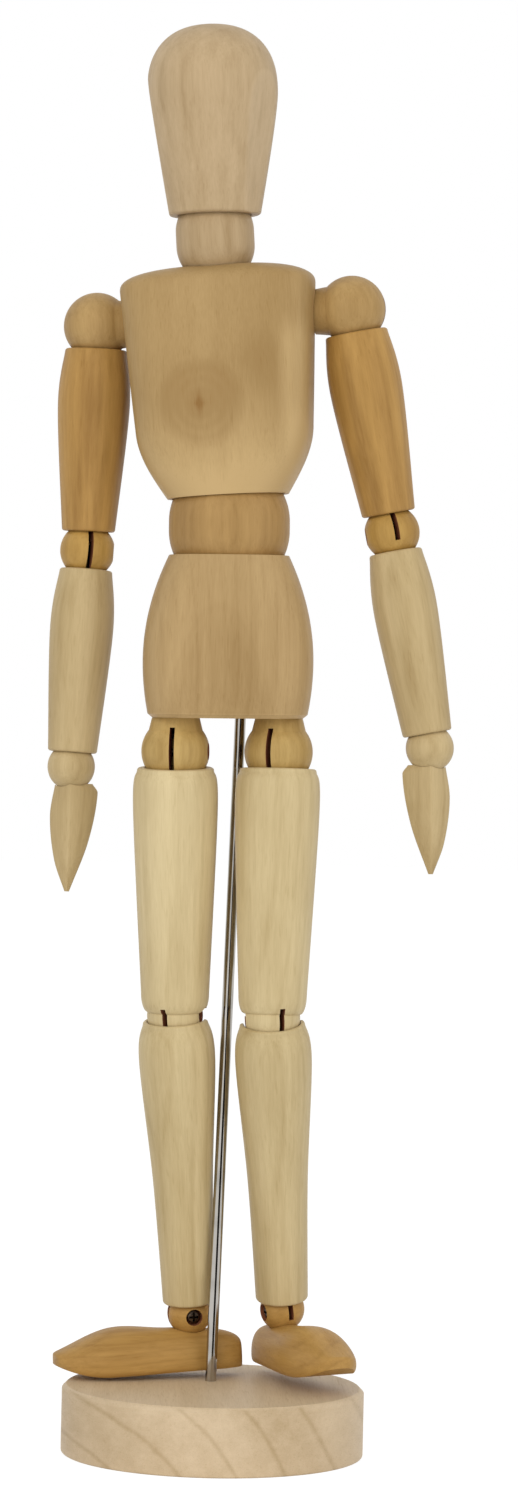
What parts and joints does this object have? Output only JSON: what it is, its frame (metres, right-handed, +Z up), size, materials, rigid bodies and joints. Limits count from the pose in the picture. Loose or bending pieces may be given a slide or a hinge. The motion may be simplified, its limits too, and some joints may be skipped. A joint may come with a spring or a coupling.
{
  "type": "artist mannequin",
  "caption": "Jointed wooden drawing mannequin on a steel rod and a round wooden base, posable at every joint",
  "frame": {"origin": "centre of the underside of the base, where the mannequin stands", "axes": "+Z is up; the figure faces -Y; +X is the figure's own left"},
  "size_m": [0.087, 0.0646, 0.3047],
  "materials": {
    "limb_wood": "pale turned hardwood, lightly sealed, satin",
    "ball_wood": "amber turned hardwood, lightly sealed, satin",
    "body_wood": "pale hardwood, sanded, end grain showing on the chest",
    "base_wood": "pale sanded hardwood, unsealed, matt",
    "rod_steel": "bright plated steel rod",
    "spring_steel": "drawn spring wire",
    "screw_steel": "plain steel screw"
  },
  "bodies": {
    "stand": {"base": "base_wood", "rod": "rod_steel"},
    "pelvis": {"pelvis": "body_wood", "pelvis_waist_pin": "screw_steel", "left_hip_swivel_screw": "screw_steel", "right_hip_swivel_screw": "screw_steel"},
    "waist": {"waist": "ball_wood", "waist_spring": "spring_steel"},
    "chest": {"chest": "body_wood", "chest_waist_pin": "screw_steel", "chest_neck_pin": "screw_steel", "shoulder_spring": "spring_steel"},
    "neck": {"neck": "ball_wood", "neck_spring": "spring_steel"},
    "head": {"head": "body_wood", "head_pin": "screw_steel"},
    "left_shoulder": {"left_shoulder_ball": "ball_wood", "left_shoulder_screw": "screw_steel"},
    "left_upper_arm": {"left_upper_arm": "limb_wood", "left_upper_arm_spring": "spring_steel"},
    "left_elbow": {"left_elbow_ball": "ball_wood", "left_elbow_screw": "screw_steel", "left_forearm_spring": "spring_steel"},
    "left_forearm": {"left_forearm": "limb_wood"},
    "left_hand": {"left_hand": "limb_wood", "left_wrist_ball": "ball_wood", "left_wrist_screw": "screw_steel"},
    "left_hip": {"left_hip_ball": "ball_wood", "left_hip_screw": "screw_steel"},
    "left_thigh": {"left_thigh": "limb_wood", "left_thigh_spring": "spring_steel", "left_knee_screw": "screw_steel"},
    "left_shin_spring": {"left_shin_spring": "spring_steel"},
    "left_shin": {"left_shin": "limb_wood"},
    "left_foot": {"left_foot": "ball_wood", "left_ankle_ball": "ball_wood", "left_ankle_screw": "screw_steel"},
    "right_shoulder": {"right_shoulder_ball": "ball_wood", "right_shoulder_screw": "screw_steel"},
    "right_upper_arm": {"right_upper_arm": "limb_wood", "right_upper_arm_spring": "spring_steel"},
    "right_elbow": {"right_elbow_ball": "ball_wood", "right_elbow_screw": "screw_steel", "right_forearm_spring": "spring_steel"},
    "right_forearm": {"right_forearm": "limb_wood"},
    "right_hand": {"right_hand": "limb_wood", "right_wrist_ball": "ball_wood", "right_wrist_screw": "screw_steel"},
    "right_hip": {"right_hip_ball": "ball_wood", "right_hip_screw": "screw_steel"},
    "right_thigh": {"right_thigh": "limb_wood", "right_thigh_spring": "spring_steel", "right_knee_screw": "screw_steel"},
    "right_shin_spring": {"right_shin_spring": "spring_steel"},
    "right_shin": {"right_shin": "limb_wood"},
    "right_foot": {"right_foot": "ball_wood", "right_ankle_ball": "ball_wood", "right_ankle_screw": "screw_steel"}
  },
  "joints": [
    {"name": "figure_turn", "type": "hinge", "parent": "stand", "child": "pelvis", "pos_m": [-0.0004, 0.006, 0.0145], "axis": [0.0227, 0, 0.9997], "range_deg": [-90, 90]},
    {"name": "waist_twist", "type": "hinge", "parent": "pelvis", "child": "waist", "pos_m": [-0.00059, 0, 0.1981], "axis": [-0.0122, 0, 0.9999], "range_deg": [-90, 90], "deforming": ["waist_spring"]},
    {"name": "waist_bend", "type": "hinge", "parent": "waist", "child": "chest", "pos_m": [-0.0006, 0, 0.1991], "axis": [0.9755, -0.2075, 0.073], "range_deg": [-20, 20], "deforming": ["waist_spring"]},
    {"name": "neck_turn", "type": "hinge", "parent": "chest", "child": "neck", "pos_m": [-0.00494, 0.00077, 0.25924], "axis": [-0.0719, 0.0127, 0.9973], "range_deg": [-90, 90], "deforming": ["neck_spring"]},
    {"name": "head_nod", "type": "hinge", "parent": "neck", "child": "head", "pos_m": [-0.00504, 0.00078, 0.26073], "axis": [0.939, -0.3419, 0.0371], "range_deg": [-22, 22], "deforming": ["neck_spring"]},
    {"name": "left_shoulder_swivel", "type": "hinge", "parent": "chest", "child": "left_shoulder", "pos_m": [0.02453, 0.00026, 0.24482], "axis": [-0.9755, 0.2075, -0.073], "range_deg": [-60, 170], "deforming": ["shoulder_spring"]},
    {"name": "left_shoulder_lift", "type": "hinge", "parent": "left_shoulder", "child": "left_upper_arm", "pos_m": [0.02453, 0.00026, 0.24482], "axis": [-0.2041, -0.9776, -0.0513], "range_deg": [-5, 85]},
    {"name": "left_elbow_bend", "type": "hinge", "parent": "left_upper_arm", "child": "left_elbow", "pos_m": [0.03421, 0.00073, 0.1975], "axis": [-0.9811, 0.0023, -0.1934], "range_deg": [-60, 70]},
    {"name": "left_forearm_twist", "type": "hinge", "parent": "left_elbow", "child": "left_forearm", "pos_m": [0.03421, 0.00073, 0.1975], "axis": [-0.1932, 0.0341, 0.9806], "range_deg": [-90, 90], "deforming": ["left_forearm_spring"]},
    {"name": "left_wrist_bend", "type": "hinge", "parent": "left_forearm", "child": "left_hand", "pos_m": [0.04323, -0.00086, 0.15171], "axis": [-0.0089, -0.9994, 0.033], "range_deg": [-45, 45]},
    {"name": "left_hip_swivel", "type": "hinge", "parent": "pelvis", "child": "left_hip", "pos_m": [0.011, 0, 0.15013], "axis": [-0.0122, 0, 0.9999], "range_deg": [-45, 4]},
    {"name": "left_hip_swing", "type": "hinge", "parent": "left_hip", "child": "left_thigh", "pos_m": [0.011, 0, 0.15013], "axis": [-0.9396, 0.342, -0.0115], "range_deg": [-40, 65]},
    {"name": "left_knee_bend", "type": "hinge", "parent": "left_thigh", "child": "left_shin_spring", "pos_m": [0.01078, -0.00251, 0.09349], "axis": [0.9966, 0.0379, 0.073], "range_deg": [-6, 42]},
    {"name": "left_shin_twist", "type": "hinge", "parent": "left_shin_spring", "child": "left_shin", "pos_m": [0.01078, -0.00251, 0.09349], "axis": [-0.0626, -0.2252, 0.9723], "range_deg": [-45, 15], "deforming": ["left_shin_spring"]},
    {"name": "left_ankle_bend", "type": "hinge", "parent": "left_shin", "child": "left_foot", "pos_m": [0.0149, 0.01233, 0.02942], "axis": [-0.9183, -0.3686, -0.1445], "range_deg": [-9, 15]},
    {"name": "right_shoulder_swivel", "type": "hinge", "parent": "chest", "child": "right_shoulder", "pos_m": [-0.0297, 0.0118, 0.24077], "axis": [-0.9755, 0.2075, -0.073], "range_deg": [-60, 170], "deforming": ["shoulder_spring"]},
    {"name": "right_shoulder_lift", "type": "hinge", "parent": "right_shoulder", "child": "right_upper_arm", "pos_m": [-0.0297, 0.0118, 0.24077], "axis": [0.2079, 0.9781, 0.0025], "range_deg": [-4, 85]},
    {"name": "right_elbow_bend", "type": "hinge", "parent": "right_upper_arm", "child": "right_elbow", "pos_m": [-0.03076, 0.01215, 0.19248], "axis": [-0.9986, -0.0004, 0.0533], "range_deg": [-60, 70]},
    {"name": "right_forearm_twist", "type": "hinge", "parent": "right_elbow", "child": "right_forearm", "pos_m": [-0.03076, 0.01215, 0.19248], "axis": [-0.0533, -0.0364, -0.9979], "range_deg": [-90, 90], "deforming": ["right_forearm_spring"]},
    {"name": "right_wrist_bend", "type": "hinge", "parent": "right_forearm", "child": "right_hand", "pos_m": [-0.03325, 0.01045, 0.14588], "axis": [-0.0023, 0.9993, -0.0363], "range_deg": [-45, 45]},
    {"name": "right_hip_swivel", "type": "hinge", "parent": "pelvis", "child": "right_hip", "pos_m": [-0.011, 0, 0.14987], "axis": [0.0122, 0, -0.9999], "range_deg": [-50, 1.5]},
    {"name": "right_hip_swing", "type": "hinge", "parent": "right_hip", "child": "right_thigh", "pos_m": [-0.011, 0, 0.14987], "axis": [-0.9902, 0.1392, -0.0121], "range_deg": [-40, 0.5]},
    {"name": "right_knee_bend", "type": "hinge", "parent": "right_thigh", "child": "right_shin_spring", "pos_m": [-0.00983, 0.00343, 0.09328], "axis": [0.965, -0.2602, 0.0322], "range_deg": [-1, 52]},
    {"name": "right_shin_twist", "type": "hinge", "parent": "right_shin_spring", "child": "right_shin", "pos_m": [-0.00983, 0.00343, 0.09328], "axis": [0.071, 0.1412, -0.9874], "range_deg": [-14, 28], "deforming": ["right_shin_spring"]},
    {"name": "right_ankle_bend", "type": "hinge", "parent": "right_shin", "child": "right_foot", "pos_m": [-0.00514, 0.01273, 0.02821], "axis": [-0.2234, 0.967, 0.1222], "range_deg": [-2, 12]}
  ]
}
